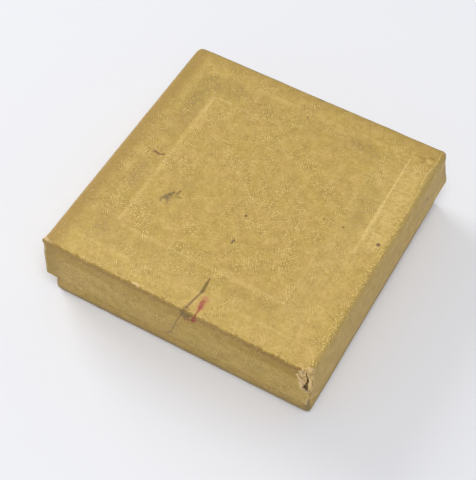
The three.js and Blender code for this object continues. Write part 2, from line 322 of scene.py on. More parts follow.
def split_depth(point):
    """How deep a point lies in the split down the front wall beside the torn corner, up to 1."""
    down = LID_TOP - point[2]
    if point[1] > 1.5 - LID_HALF or down < SPLIT_WIDTH[0][0] or down > SPLIT_WIDTH[0][-1]:
        return 0.0
    along = LID_HALF - point[0] - np.interp(down, *SPLIT_PLACE)
    wander = 0.2 * ripple(point, 1.2, 5.3)
    half_width = np.interp(down, *SPLIT_WIDTH) / 2
    return 1 - ease(0.5 * half_width, 1.3 * half_width, abs(along + wander))


def chip_depth(point):
    """How far a point lies inside the chip in the right wall's lower edge, about in millimetres."""
    if point[0] < LID_HALF - WALL:
        return -1.0
    along = (point[1] + LID_HALF) / CHIP_WIDTH + max(0, LID_HALF - 0.2 - point[0])
    height = CHIP_HEIGHT * (1 - along) + 0.4 * ripple(point, 0.8, 1.9)
    return 0.6 * (height - point[2] + LID_BOTTOM)


def lid_warp(point):
    """Where wear and handling have moved a point of the lid's layers."""
    x, y, z = point
    down = LID_TOP - z
    shift = np.zeros(3)
    # Top face slightly uneven
    on_top = 1 - ease(0.5, 2.5, down)
    shift[2] += on_top * (0.06 * ripple((x, y, 0), 19, 1.3) + 0.03 * ripple((x, y, 0), 6.5, 4.1))
    # Walls splay outwards and wave along their length
    for axis in (0, 1):
        side = math.copysign(1, point[axis])
        near_wall = ease(LID_HALF - 2.5, LID_HALF - 0.5, abs(point[axis]))
        along = point[1 - axis]
        splay = LID_SPLAY * ease(-2, 13, down)
        splay += 0.08 * ripple((along, side * 7, z * 0.6), 13, axis * 2.7)
        wave = 0.05 * ripple((along, side * 5, z), 4.0, 6.2 + axis)
        shift[axis] += side * near_wall * ease(0.4, 3.5, down) * (splay + wave)
        edge_line = EDGE_LIFT + 0.07 * ripple((along, side * 3, 0), 7, 2.2 + axis)
        edge_line += 0.05 * ripple((along, side, 0), 2.2, axis)
        shift[2] += near_wall * (1 - ease(0.3, 2.2, down)) * edge_line
    # The front wall is pressed in along a band under its top edge
    on_front = ease(LID_HALF - 2.0, LID_HALF - 0.6, -y)
    band_end = 4.0 + 0.5 * ripple((x, 0, 0), 9, 8.8)
    band = ease(0.3, 1.1, down) * (1 - ease(band_end - 0.9, band_end + 0.3, down))
    shift[1] += on_front * band * (0.14 + 0.05 * ripple((x, 0, 0), 5, 3.1))
    # Front and right top edges lie a little inwards
    edge_in = 1 - ease(0.1, 1.0, down)
    shift[1] += on_front * edge_in * 0.1 * (1 - ease(0, 28, x))
    shift[0] -= ease(LID_HALF - 2.0, LID_HALF - 0.6, x) * edge_in * 0.36
    # Crushed tip of the torn corner
    offset = np.array(point) - TORN_CORNER
    crushed = bell(offset @ offset, 1.9)
    lump = 0.5 * ripple(point, 0.9, 7.7)
    shift += crushed * np.array([-0.25, 0.25, -0.3]) * (1 + lump)
    for corner, reach, (start, full), push in CORNER_BENDS:
        aside = (x - corner[0]) ** 2 + (y - corner[1]) ** 2
        shift += ease(start, full, down) * bell(aside, reach) * np.array(push)
    # Curled tip of the blunt corner
    offset = np.array(point) - BLUNT_CORNER
    shift += bell(offset @ offset, 1.3) * np.array([-0.12, -0.1, 0.12])
    return Vector(np.array(point) + shift)


def sunk_frame(level):
    """The lid's outer line from its middle to beyond the sunk frame."""
    return [
        (0, level),
        (FRAME_INNER, level, 0.35),
        (FRAME_INNER + FRAME_BEVEL, level - FRAME_DEPTH, 0.5),
        (FRAME_OUTER - FRAME_BEVEL, level - FRAME_DEPTH, 0.5),
        (FRAME_OUTER, level, 0.35),
    ]


def frame_shift(point):
    """Moves the sunk frame sideways to where it was pressed."""
    reach = max(abs(point.x), abs(point.y))
    inside = ease(2, 14, reach) * (1 - ease(27.5, 30.5, reach))
    return Vector((point.x + FRAME_SHIFT * inside, point.y, point.z))


def take_place(piece, body, node):
    """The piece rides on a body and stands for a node."""
    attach(piece, body)
    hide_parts(node)
    return piece


def lid_cover(materials):
    """The lid's gold paper, one sheet that turns in under the lower edge, torn at one corner."""
    path = rounded_path([
        *sunk_frame(LID_TOP),
        (LID_HALF, LID_TOP, PAPER_EDGE),
        (LID_HALF, LID_BOTTOM, CREASE),
        (LID_HALF - WALL, LID_BOTTOM, CREASE),
        (LID_HALF - WALL, LID_BOTTOM + LID_TURN_IN),
    ], 4)
    sheet = swept_sheet(spaced_path(path, 0.8, 2.2), PAPER_CORNER, 90, 6)
    refine(sheet, TEAR_MIDDLE, 7.0, 2)
    refine(sheet, TEAR_MIDDLE, 6.0, 1)
    hem = LID_HALF - WALL + PAPER

    def is_outside(place):
        return max(abs(place.x), abs(place.y)) > hem or place.z > LID_TOP - 2

    def is_gone(middle):
        return (is_outside(middle) and tear_depth(middle) > 0) or chip_depth(middle) > 0

    drop_faces(sheet, is_gone)
    flat_layer = sheet.verts.layers.float_vector["flat"]
    for face in sheet.faces:
        middle = sum((vert[flat_layer] for vert in face.verts), Vector()) / len(face.verts)
        face.material_index = tile_number(middle)
    bare_layer = sheet.verts.layers.float.new("bare")
    for vert in sheet.verts:
        depth = tear_depth(vert.co)
        down = LID_TOP - vert.co.z
        outside = is_outside(vert.co)
        torn = ease(-0.8, -0.05, depth) * outside
        vert[bare_layer] = max(torn, ease(-0.3, 0, chip_depth(vert.co)) * outside)
        lift = 0.06 * ease(-1.0, 0, depth) * (0.6 + 0.6 * ripple(vert.co, 0.8, 2.2)) * outside
        outward = Vector((vert.co.x, vert.co.y, 0)).normalized() + Vector((0, 0, 0.5))
        pressed = frame_shift(vert.co)
        vert[flat_layer] = vert[flat_layer] + pressed - vert.co
        vert.co = lid_warp(pressed) + outward * lift * (1 - ease(8.5, 9.5, down))
    piece = write_object("lid_cover", sheet, materials, PAPER)
    return take_place(piece, "lid", "lid_cover_paper")


# Lower part of the base: wider than the rim, and a little turned under the lid
BASE_FLARE = 0.34
BASE_FLARE_SHIFT = np.array([0.15, -0.14, 0])
BASE_TURN = 0.0098


def base_warp(point):
    """Where use has moved a point of the base's covering paper, outwards only."""
    x, y, z = point
    low = 1 - ease(1.2, 6.5, z)
    shift = np.array([x, y, 0]) / BASE_HALF * BASE_FLARE
    shift += np.array([-y, x, 0]) * BASE_TURN + BASE_FLARE_SHIFT
    wave = 0.05 * ripple(point, 6, 3.3) + 0.03 * ripple(point, 2.5, 5.9)
    for axis in (0, 1):
        side = math.copysign(1, point[axis])
        shift[axis] = side * max(0, side * shift[axis] + wave)
    # Lower corners are rubbed round
    near = (abs(x) - BASE_HALF) ** 2 + (abs(y) - BASE_HALF) ** 2 + 0.5 * z ** 2
    shift[2] += 0.5 * bell(near, 0.9)
    return Vector(np.array(point) + low * shift)


def base_cover(materials):
    """The base's gold paper, turned in over the rim and under the bottom."""
    inside = BASE_HALF - WALL
    path = rounded_path([
        (inside, BASE_RIM - BASE_TURN_IN),
        (inside, BASE_RIM, CREASE),
        (BASE_HALF, BASE_RIM, CREASE),
        (BASE_HALF, BASE_BOTTOM, PAPER_EDGE),
        (BASE_HALF - BASE_TURN_UNDER, BASE_BOTTOM),
    ], 4)
    sheet = swept_sheet(spaced_path(path, 0.8), PAPER_CORNER, 80, 6)
    for vert in sheet.verts:
        vert.co = base_warp(vert.co)
    piece = write_object("base_cover", sheet, materials, PAPER, (BASE_CENTRE[0], BASE_CENTRE[1], 0))
    return take_place(piece, "base", "base_cover_paper")


def lid_board(materials):
    """The lid's board tray with slit corners, fluffed up and split where it is torn."""
    half = LID_HALF - PAPER - SKIN
    top = LID_TOP - PAPER - GLUE
    path = rounded_path([
        *sunk_frame(top),
        (half, top, BOARD_CORNER),
        (half, LID_BOTTOM + PAPER + GLUE),
    ], 4)
    sheet = swept_sheet(spaced_path(path, 0.9, 2.2), BOARD_CORNER, 70, 6)
    refine(sheet, TEAR_MIDDLE, 7.0, 3)

    def is_cut(middle):
        apart = abs(middle.x) - abs(middle.y)
        in_corner = min(abs(middle.x), abs(middle.y)) > half - BOARD_CORNER
        is_torn = middle.x > 0 > middle.y
        slit = in_corner and abs(apart) < 0.2 and middle.z < top - 0.5 and not is_torn
        return slit or chip_depth(middle) > 0

    drop_faces(sheet, is_cut)
    bare_layer = sheet.verts.layers.float.new("bare")
    split_layer = sheet.verts.layers.float.new("split")
    for vert in sheet.verts:
        reach = (vert.co - Vector(TORN_CORNER)).length
        split = split_depth(vert.co)
        vert[bare_layer] = 1 - ease(5.0, 8.5, reach + 0.8 * ripple(vert.co, 1.1, 4.4))
        vert[split_layer] = split
        lumps = 0.75 + 0.8 * ripple(vert.co, 0.45, 2.8)
        fluff = 0.3 * ease(-0.4, 0.2, tear_depth(vert.co)) * lumps
        outward = (vert.co - Vector((LID_HALF - 3, 3 - LID_HALF, LID_TOP - 3))).normalized()
        vert.co = lid_warp(frame_shift(vert.co)) + outward * (fluff * (1 - split) - 0.3 * split)
    piece = write_object("lid_tray", sheet, materials, BOARD)
    return take_place(piece, "lid", "lid_board")


def lid_stay(number, side_x, side_y, materials):
    """Paper stay round one corner of the lid's board, gone where the corner is torn."""
    half = LID_HALF - PAPER - GLUE
    top = LID_TOP - PAPER - GLUE - BOARD_CORNER
    bottom = LID_BOTTOM + PAPER + GLUE + STAY_SHORT
    path = [np.array([half, top]), np.array([half, bottom])]
    corner_radius = BOARD_CORNER + GLUE + STAY
    end = half - corner_radius - STAY_REACH
    sheet = swept_sheet(spaced_path(path, 0.5), corner_radius, 60, 6)
    drop_faces(sheet, lambda middle: middle.x * side_x < end or middle.y * side_y < end)
    if side_x > 0 > side_y:
        drop_faces(sheet, lambda middle: tear_depth(middle) > -0.3 or chip_depth(middle) > -0.1)
    for vert in sheet.verts:
        vert.co = lid_warp(vert.co)
    piece = write_object(f"lid_stay_{number}", sheet, materials, STAY)
    return take_place(piece, "lid", f"lid_corner_stay_{number}")


FIBRES = 110


def torn_fibres(materials):
    """Loose fibres of board and paper that stand out of the torn corner."""
    draw = np.random.default_rng(11)
    tufts = bmesh.new()
    made = 0
    while made < FIBRES:
        along_front, along_right = draw.uniform(0, 3.2), draw.uniform(0, 2.2)
        place = draw.integers(3)
        down = draw.uniform(0.0, 7.0) if place else 0.1
        point = np.array([
            LID_HALF - 0.12 - (along_front if place < 2 else 0),
            0.12 - LID_HALF + (along_right if place != 1 else 0),
            LID_TOP - 0.1 - (down if place else 0),
        ])
        depth = tear_depth(point)
        if depth < -0.1 or (depth > 0.5 and draw.uniform() > 0.35):
            continue
        made += 1
        start = np.array(lid_warp(point))
        way = np.array([0.5, -0.5, 0.4]) + draw.normal(0, 0.7, 3)
        way /= np.linalg.norm(way)
        bend = draw.normal(0, 0.6, 3)
        length = draw.uniform(0.2, 0.6)
        width = draw.uniform(0.02, 0.05)
        across = np.cross(way, draw.normal(0, 1, 3))
        across /= np.linalg.norm(across)
        third = np.cross(way, across)
        rings = []
        for step in range(5):
            share = step / 4
            middle = start + way * length * share + bend * length * 0.5 * share ** 2
            thin = width * (1 - 0.75 * share)
            ring = []
            for turn in range(3):
                angle = turn * 2 * math.pi / 3
                spoke = across * math.cos(angle) + third * math.sin(angle)
                ring.append(tufts.verts.new(middle + spoke * thin))
            rings.append(ring)
        stitch(tufts, rings[::-1])
        tufts.faces.new(rings[0][::-1])
        tufts.faces.new(rings[-1])
    piece = write_object("torn_fibres", tufts, materials)
    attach(piece, "lid")
    return piece


# Coin fitting and lid pad
WELL_RADIUS = 19.8
WELL_DEPTH = 3.6
WELL_LIP = 0.8
WELL_FOOT = 0.6
VELVET = 0.5
VELVET_EDGE = 0.7
PILE_WAVE = 0.04
SATIN = 0.2
PLEATS = 44


def velvet_fitting(materials):
    """One velvet cloth over the platform and pressed down into the coin well."""
    low, high = frame_box("insert_velvet")
    centre = (low + high) / 2
    half = (high[0] - low[0]) / 2
    top, floor = high[2], high[2] - WELL_DEPTH
    side_steps, corner_steps = 36, 6
    corner_radius = BOARD_CORNER + GLUE + VELVET
    outline = square_ring(half, corner_radius, side_steps, corner_steps)
    angles = [math.atan2(y, x) for x, y in outline]
    well = spaced_path(rounded_path([
        (0, floor),
        (WELL_RADIUS, floor, WELL_FOOT),
        (WELL_RADIUS, top, WELL_LIP),
        (WELL_RADIUS + WELL_LIP + 0.1, top),
    ], 5), 0.9)
    edge = spaced_path(rounded_path([
        (half - 2, top),
        (half, top, VELVET_EDGE),
        (half, low[2]),
    ], 5), 0.8)
    cloth = bmesh.new()
    rings = [[cloth.verts.new((0, 0, floor))]]
    for radius, level in well[1:]:
        depth = (top - level) / WELL_DEPTH
        gather = 0.1 * math.sin(math.pi * min(max(depth, 0), 1)) if radius > WELL_RADIUS - 0.3 else 0
        ring = []
        for angle in angles:
            place = (math.cos(angle), math.sin(angle), level / 9)
            wave = math.sin(PLEATS * angle + 4 * ripple(place, 0.3, 2.6))
            reach = radius + gather * wave
            pile = 0.03 * ripple((reach * place[0], reach * place[1], level), 1.6, 8.3)
            ring.append(cloth.verts.new((reach * place[0], reach * place[1], level + pile)))
        rings.append(ring)
    lip = well[-1][0]
    inner = [lip * np.array((math.cos(angle), math.sin(angle))) for angle in angles]
    outer = square_ring(edge[0][0], SHARPEST, side_steps, corner_steps)
    for step in range(1, 12):
        share = step / 12
        ring = []
        for start, end in zip(inner, outer):
            x, y = start + (end - start) * share
            pile = PILE_WAVE * ripple((x, y, 0), 1.8, 8.3) + 0.07 * ripple((x, y, 0), 9, 1.1)
            ring.append(cloth.verts.new((x, y, top + pile * min(1, 4 * share) - PILE_WAVE)))
        rings.append(ring)
    for width, level in edge:
        radius = max(corner_radius - half + width, SHARPEST)
        ring = []
        for x, y in square_ring(width, radius, side_steps, corner_steps):
            pile = PILE_WAVE * ripple((x, y, level), 1.8, 8.3)
            ring.append(cloth.verts.new((x, y, level + pile - PILE_WAVE)))
        rings.append(ring)
    stitch(cloth, rings)
    piece = write_object("coin_velvet", cloth, materials, VELVET, (centre[0], centre[1], 0))
    take_place(piece, "base", "insert_velvet")
    return piece


PAD_SIM_SCALE = 10.0
PAD_SIM_FRAMES = 16
PAD_MOVE = 0.3


def padded_satin(materials):
    """Satin pad in the lid: drawn over wadding and settled by a short cloth simulation."""
    low, high = frame_box("lid_pad_satin")
    half = high[0]
    path = [
        (half - 5, high[2]),
        (half, high[2], 0.3),
        (half, low[2] + 0.6, 0.7),
    ]
    crown = [(share * half, low[2] + 0.6 * share ** 2) for share in (0.75, 0.5, 0.25, 0)]
    path = rounded_path([*path, *crown], 4)
    sheet = swept_sheet(spaced_path(path, 1.4), 1.5, 40, 5)
    rest = np.array([vert.co for vert in sheet.verts])
    at_edge = np.abs(rest[:, :2]).max(axis=1) > half - 0.3
    at_back = rest[:, 2] > high[2] - 0.5
    pinned = np.flatnonzero(at_edge | at_back).tolist()
    settled = settle_cloth(sheet, pinned)
    moved = np.clip(settled - rest, -PAD_MOVE, PAD_MOVE)
    sheet.verts.ensure_lookup_table()
    for index, shift in enumerate(moved):
        sheet.verts[index].co += Vector(shift)
    piece = write_object("satin_pad", sheet, materials, SATIN)
    smooth = piece.modifiers.new("smooth", "SUBSURF")
    smooth.levels = smooth.render_levels = 1
    take_place(piece, "lid", "lid_pad_satin")
    return piece


def settle_cloth(sheet, pinned):
    """Runs the cloth with a little pressure from inside, and gives its points in millimetres."""
    mesh = bpy.data.meshes.new("settling")
    sheet.to_mesh(mesh)
    mesh.transform(Matrix.Scale(PAD_SIM_SCALE * MM, 4))
    cloth = bpy.data.objects.new("settling", mesh)
    bpy.context.collection.objects.link(cloth)
    group = cloth.vertex_groups.new(name="pinned")
    group.add(pinned, 1.0, "REPLACE")
    simulation = cloth.modifiers.new("cloth", "CLOTH")
    settings = simulation.settings
    settings.quality = 6
    settings.mass = 0.15
    settings.vertex_group_mass = "pinned"
    settings.shrink_min = -0.012
    settings.use_pressure = True
    settings.uniform_pressure_force = 1.5
    settings.effector_weights.gravity = 0
    settings.bending_stiffness = 0.3
    simulation.point_cache.frame_start = 1
    simulation.point_cache.frame_end = PAD_SIM_FRAMES
    scene = bpy.context.scene
    for step in range(1, PAD_SIM_FRAMES + 1):
        scene.frame_set(step)
    settled = cloth.evaluated_get(bpy.context.evaluated_depsgraph_get())
    points = np.array([vert.co for vert in settled.data.vertices]) / (PAD_SIM_SCALE * MM)
    scene.frame_set(1)
    bpy.data.objects.remove(cloth)
    bpy.data.meshes.remove(mesh)
    return points


# Nets of shader nodes
class Net:
    """Short calls for the nodes of one tree. An input is a socket or a plain value."""

    def __init__(self, tree):
        self.tree = tree

    def node(self, kind, inputs=(), **settings):
        made = self.tree.nodes.new(kind)
        for key, value in settings.items():
            setattr(made, key, value)
        for place, value in dict(inputs).items():
            self.feed(made.inputs[place], value)
        return made

    def feed(self, socket, value):
        if isinstance(value, bpy.types.NodeSocket):
            self.tree.links.new(value, socket)
        elif socket.type == "RGBA":
            socket.default_value = (*value, 1.0)
        else:
            socket.default_value = value

    def math(self, operation, first, second=0.0, third=0.0):
        inputs = {0: first, 1: second, 2: third}
        return self.node("ShaderNodeMath", inputs, operation=operation).outputs[0]

    def vector(self, operation, first, second=(0, 0, 0), third=(0, 0, 0), output="Vector"):
        inputs = {0: first, 1: second, 2: third}
        return self.node("ShaderNodeVectorMath", inputs, operation=operation).outputs[output]

    def parts(self, vector):
        return self.node("ShaderNodeSeparateXYZ", {"Vector": vector}).outputs

    def step(self, value, low, high):
        """Smooth step from 0 to 1 between two values."""
        inputs = {"Value": value, "From Min": low, "From Max": high}
        return self.node("ShaderNodeMapRange", inputs, interpolation_type="SMOOTHSTEP").outputs[0]

    def range(self, value, low, high, to_low, to_high):
        source = {"Value": value, "From Min": low, "From Max": high}
        target = {"To Min": to_low, "To Max": to_high}
        return self.node("ShaderNodeMapRange", {**source, **target}).outputs[0]

    def noise(self, vector, scale, detail=2.0, roughness=0.5, output="Fac"):
        inputs = {"Vector": vector, "Scale": scale, "Detail": detail, "Roughness": roughness}
        return self.node("ShaderNodeTexNoise", inputs).outputs[output]

    def blend(self, share, at_none, at_full):
        """A value that changes evenly with a share from 0 to 1."""
        return self.range(share, 0, 1, at_none, at_full)

    def between(self, value, start, full, fade, end):
        """0 before the start and past the end, and 1 from full to fade."""
        return self.times(self.step(value, start, full), self.step(value, end, fade))

    def mix(self, factor, first, second):
        inputs = {0: factor, 6: first, 7: second}
        return self.node("ShaderNodeMix", inputs, data_type="RGBA").outputs[2]

    def patches(self, low, high, *noise):
        """Noise hardened to patches of 0 and 1 with soft borders."""
        return self.step(self.noise(*noise), low, high)

    def moved(self, place, drift, reach):
        """A place on the flat paper moved sideways by a drifting vector."""
        return self.vector("MULTIPLY_ADD", drift, (reach, reach, 0), place)

    def minus(self, first, second):
        return self.math("SUBTRACT", first, second)

    def times(self, *factors):
        product = factors[0]
        for factor in factors[1:]:
            product = self.math("MULTIPLY", product, factor)
        return product


class Shader(Net):
    """A material, its surface node and the tone painted so far."""

    def __init__(self, name):
        self.material = bpy.data.materials.new(name)
        self.material.use_nodes = True
        super().__init__(self.material.node_tree)
        self.surface = self.tree.nodes["Principled BSDF"]
        self.tone = None

    def paint(self, colour, *covers):
        """Lays a colour over the tone, as thick as the product of its covers."""
        self.tone = self.mix(self.times(*covers), self.tone, colour)

    def set(self, **values):
        for key, value in values.items():
            self.feed(self.surface.inputs[key.replace("_", " ")], value)

    def objects_place(self):
        return self.node("ShaderNodeTexCoord").outputs["Object"]

    def attribute(self, name, output):
        return self.node("ShaderNodeAttribute", attribute_name=name).outputs[output]

    def bump(self, height, distance, strength=1.0):
        inputs = {"Height": height, "Distance": distance, "Strength": strength}
        self.set(Normal=self.node("ShaderNodeBump", inputs).outputs[0])


def stroke_group():
    """Node group: how much a point lies on a rounded stroke between two points."""
    tree = bpy.data.node_groups.new("stroke", "ShaderNodeTree")
    for name, kind in (("Place", "Vector"), ("Start", "Vector"), ("Span", "Vector"),
                       ("Inverse", "Float"), ("Edge", "Float"), ("Core", "Float")):
        tree.interface.new_socket(name=name, in_out="INPUT", socket_type=f"NodeSocket{kind}")
    tree.interface.new_socket(name="Cover", in_out="OUTPUT", socket_type="NodeSocketFloat")
    net = Net(tree)
    given = net.node("NodeGroupInput").outputs
    offset = net.vector("SUBTRACT", given["Place"], given["Start"])
    along = net.vector("DOT_PRODUCT", offset, given["Span"], output="Value")
    share = net.math("MULTIPLY", along, given["Inverse"])
    share = net.math("MAXIMUM", net.math("MINIMUM", share, 1.0), 0.0)
    scaled = {0: given["Span"], "Scale": share}
    nearest = net.node("ShaderNodeVectorMath", scaled, operation="SCALE").outputs[0]
    distance = net.vector("DISTANCE", offset, nearest, output="Value")
    cover = net.step(distance, given["Edge"], given["Core"])
    net.node("NodeGroupOutput", {"Cover": cover})
    return tree


STROKE = stroke_group()


def strokes(net, place, points, softness):
    """Cover of a line of strokes through points (x, y, radius)."""
    cover = None
    if len(points) == 1:
        points = [points[0], (points[0][0] + 0.02, points[0][1], points[0][2])]
    for (x, y, radius), (to_x, to_y, to_radius) in zip(points, points[1:]):
        span = (to_x - x, to_y - y, 0)
        width = (radius + to_radius) / 2
        inputs = {
            "Place": place,
            "Start": (x, y, 0),
            "Span": span,
            "Inverse": 1 / (span[0] ** 2 + span[1] ** 2),
            "Edge": width * (1 + softness),
            "Core": width * (1 - softness),
        }
        stroke = net.node("ShaderNodeGroup", inputs, node_tree=STROKE).outputs["Cover"]
        cover = stroke if cover is None else net.math("MAXIMUM", cover, stroke)
    return cover


# Places on the unfolded lid paper
WALL_START = LID_HALF - PAPER_CORNER + PAPER_EDGE * (math.pi / 2 - 1) + LID_TOP


def on_front(x, level, radius):
    """A mark's place on the front wall."""
    return (x, level - WALL_START, radius)


def on_right(y, level, radius):
    """A mark's place on the right wall."""
    return (WALL_START - level, y, radius)


GOLD = (0.552, 0.375, 0.089)
GOLD_RIDGE = (0.78, 0.57, 0.195)
GOLD_HOLLOW = (0.38, 0.245, 0.056)
GOLD_OLIVE = (0.527, 0.367, 0.081)
GOLD_ROSE = (0.562, 0.367, 0.105)
GOLD_RUBBED = (0.86, 0.67, 0.27)
# Painted glint and painted shade colours for the lid's right edge
EDGE_PAINTED_GLINT = (0.86, 0.64, 0.19)
FOLD_PAINTED_SHADE = (0.43, 0.31, 0.105)
SOIL = (0.30, 0.20, 0.05)
# Painted shade colour for the base's lower edge and corners
BASE_PAINTED_SHADE = (0.22, 0.165, 0.075)
SOIL_VIOLET = (0.35, 0.22, 0.07)
# Painted shade colours for the band under the lid's front edge
FRONT_BAND_SHADE = (0.35, 0.20, 0.022)
UNDER_EDGE_SHADE = (0.24, 0.12, 0.006)
BARE_PAPER = (0.78, 0.57, 0.28)
INK = (0.14, 0.11, 0.055)
INK_GREEN = (0.10, 0.075, 0.01)
VIOLET_GREY = (0.19, 0.115, 0.05)
DARK_OLIVE = (0.12, 0.078, 0.012)
RED = (0.33, 0.045, 0.035)
PINK = (0.52, 0.15, 0.10)
DARK_BROWN = (0.085, 0.045, 0.006)
PURPLE = (0.14, 0.065, 0.05)
RED_BROWN = (0.23, 0.085, 0.035)
ORANGE = (0.54, 0.30, 0.09)
# Grey painted shade along the lid's left and back folds
FOLD_GREY_SHADE = (0.24, 0.21, 0.14)
SCUFF_BROWN = (0.20, 0.11, 0.012)

# Broad soft stains: colour, strength, and points with their radius
STAINS = [
    (SOIL_VIOLET, 0.5, [(-23.4, -23.2, 2)]),
    (SOIL_VIOLET, 0.4, [(-24, -9, 1.7), (-24, -4, 1.7)]),
    (SOIL, 0.34, [(-23.8, 6, 1.6), (-24, 17, 1.8)]),
    (SOIL, 0.5, [(-24.6, 18, 2), (-24.2, 24, 2.4), (-17, 24.4, 1.9)]),
    (GOLD_RIDGE, 0.6, [(28.6, 2, 2), (28.6, 22, 2)]),
    (GOLD_RIDGE, 0.3, [(23.5, -22, 4), (23.5, 20, 4)]),
    (ORANGE, 0.2, [(-30.8, -30, 1.3), (-30.8, -4, 1.5), (-30.8, 20, 1)]),
    (GOLD_RIDGE, 0.22, [(-26, -28, 4), (26, -28, 4)]),
    (ORANGE, 0.35, [(-29.6, -28.5, 1.4)]),
    (SOIL, 0.52, [(13, 24.6, 1.5), (17.5, 23.6, 1.3)]),
    (SOIL, 0.4, [(22.6, 4, 1.6), (22.6, 14, 1.7)]),
    (SOIL, 0.26, [(-14.6, -8.5, 1.8), (-12.2, -3.2, 2.2)]),
    (ORANGE, 0.45, [(26.8, 30.8, 0.9)]),
    (ORANGE, 0.3, [(22.8, 30.3, 1)]),
    (DARK_OLIVE, 0.95, [(2.8, -31.5, 0.5), on_front(2.5, 16.6, 0.7), on_front(4, 16.4, 0.75)]),
    (DARK_OLIVE, 0.7, [on_front(2.2, 15.6, 0.5), on_front(4.2, 15, 0.6)]),
    (VIOLET_GREY, 0.8, [on_front(-0.6, 6.9, 0.25), on_front(-1.8, 5.9, 0.55)]),
    (INK, 0.7, [(-15, -9.6, 0.5), (-14.4, -10.5, 0.35)]),
    (INK_GREEN, 0.6, [(-13.5, -8, 0.3), (-12.7, -8.2, 0.25)]),
    (PINK, 1, [(5.2, -27.4, 0.4), (5.1, -28.6, 0.85), (5.3, -29.8, 0.4)]),
    (RED, 0.8, [on_front(4.6, 15.1, 0.4), on_front(2.9, 14.6, 0.3)]),
    (SCUFF_BROWN, 0.8, [(26, 27.9, 0.2), (27.5, 27.75, 0.4), (28.2, 27.9, 0.3)]),
    (SCUFF_BROWN, 0.9, [(28.9, 28.6, 0.2), (29.9, 28.8, 0.34), (30.6, 28.6, 0.24)]),
    (SCUFF_BROWN, 0.75, [(28.3, 27, 0.45)]),
    (GOLD_RUBBED, 0.35, [(29, 27.6, 0.3), (30, 27.2, 0.4)]),
    (BARE_PAPER, 0.9, [(-9.6, -31.5, 0.22), (-8.4, -31.6, 0.28)]),
    (GOLD_RUBBED, 0.7, [on_front(-31.8, 14.6, 0.35), on_front(-31.8, 7, 0.3)]),
    (BARE_PAPER, 0.4, [(31.5, 31.4, 0.4)]),
    (BARE_PAPER, 0.35, [(-31.4, 31.5, 0.3)]),
    (SOIL_VIOLET, 0.45, [on_right(-30.6, 9, 0.9), on_right(-28.8, 6.4, 0.7)]),
    (SOIL_VIOLET, 0.35, [on_right(19, 12.5, 2.4), on_right(30, 12, 2.8)]),
]

# Sharp specks and strokes, and one painted shadow: colour, strength, and points with their radius
STROKES = [
    # Grey ink with its legs
    (INK, 0.55, [(-15.5, -9.2, 0.7), (-15.1, -8.7, 0.6)]),
    (INK, 0.6, [(-15.7, -9.3, 0.36), (-16.3, -10.2, 0.28), (-16.1, -10.9, 0.2)]),
    (INK_GREEN, 0.75, [(-15.3, -8.5, 0.34), (-14.7, -7.5, 0.22)]),
    (INK_GREEN, 0.65, [(-14, -7.8, 0.2), (-13.6, -6.5, 0.22)]),
    # Specks
    (PURPLE, 0.8, [(2.85, -11.9, 0.32), (2.7, -12.7, 0.22)]),
    (DARK_BROWN, 1, [(1.82, -5.17, 0.27)]),
    (DARK_BROWN, 0.8, [(16.6, 2.4, 0.2)]),
    (DARK_BROWN, 0.8, [(21.1, 2.6, 0.24)]),
    (PURPLE, 1, [(29.5, 2.2, 0.44)]),
    (RED_BROWN, 0.9, [(-24.4, 0.1, 0.28), (-23, -0.2, 0.34), (-22.2, 0.3, 0.14)]),
    (RED_BROWN, 0.5, [(-30.7, 0.2, 0.2)]),
    (PURPLE, 0.6, [(0.3, 25.2, 0.2), (0.2, 25.7, 0.15)]),
    (INK, 0.75, [(0.3, 31.6, 0.35), (1, 31.7, 0.35)]),
    (DARK_BROWN, 0.9, [on_right(22.2, 12.2, 0.4)]),
    (GOLD_RUBBED, 0.7, [(-2, -18, 0.2)]),
    (BARE_PAPER, 0.7, [(-31.6, -31.2, 0.3), (-31.1, -31.4, 0.36)]),
    (BARE_PAPER, 0.45, [(-31, -31.5, 0.36), (-30.2, -31.7, 0.2)]),
    (BARE_PAPER, 0.75, [on_front(-31.7, 16.5, 0.34), on_front(-31.6, 14.6, 0.24)]),
    (DARK_BROWN, 0.8, [(-32.2, -31.3, 0.22), (-31.8, -31.9, 0.14)]),
    # Painted shadow under the nick in the creased corner's upright
    (DARK_OLIVE, 0.85, [on_right(31.5, 12.8, 0.45), on_right(31.5, 10.8, 0.3)]),
    # Scratch over the front edge and the red mark beside it
    (DARK_OLIVE, 0.85, [(3.3, -22.7, 0.2), (3.4, -23.7, 0.2)]),
    (DARK_OLIVE, 0.85, [(3.4, -24, 0.2), (3.5, -25, 0.5), (3.6, -26.1, 0.26)]),
    (VIOLET_GREY, 0.85, [(3.6, -26.2, 0.26), (3.15, -28.5, 0.2), (2.7, -31.2, 0.28)]),
    (VIOLET_GREY, 0.75, [
        on_front(2.4, 16.4, 0.14), on_front(1, 12.8, 0.11), on_front(-0.5, 7.4, 0.14),
    ]),
    (RED, 0.65, [(5, -28.2, 0.5), (5.2, -29.6, 0.36)]),
    (RED, 0.8, [(5.2, -29.7, 0.28), (5.3, -30.9, 0.18), (5.3, -31.6, 0.18), on_front(5.2, 16.6, 0.24)]),
    (RED, 0.95, [on_front(5.1, 16.2, 0.34), on_front(4.8, 15.3, 0.62)]),
]

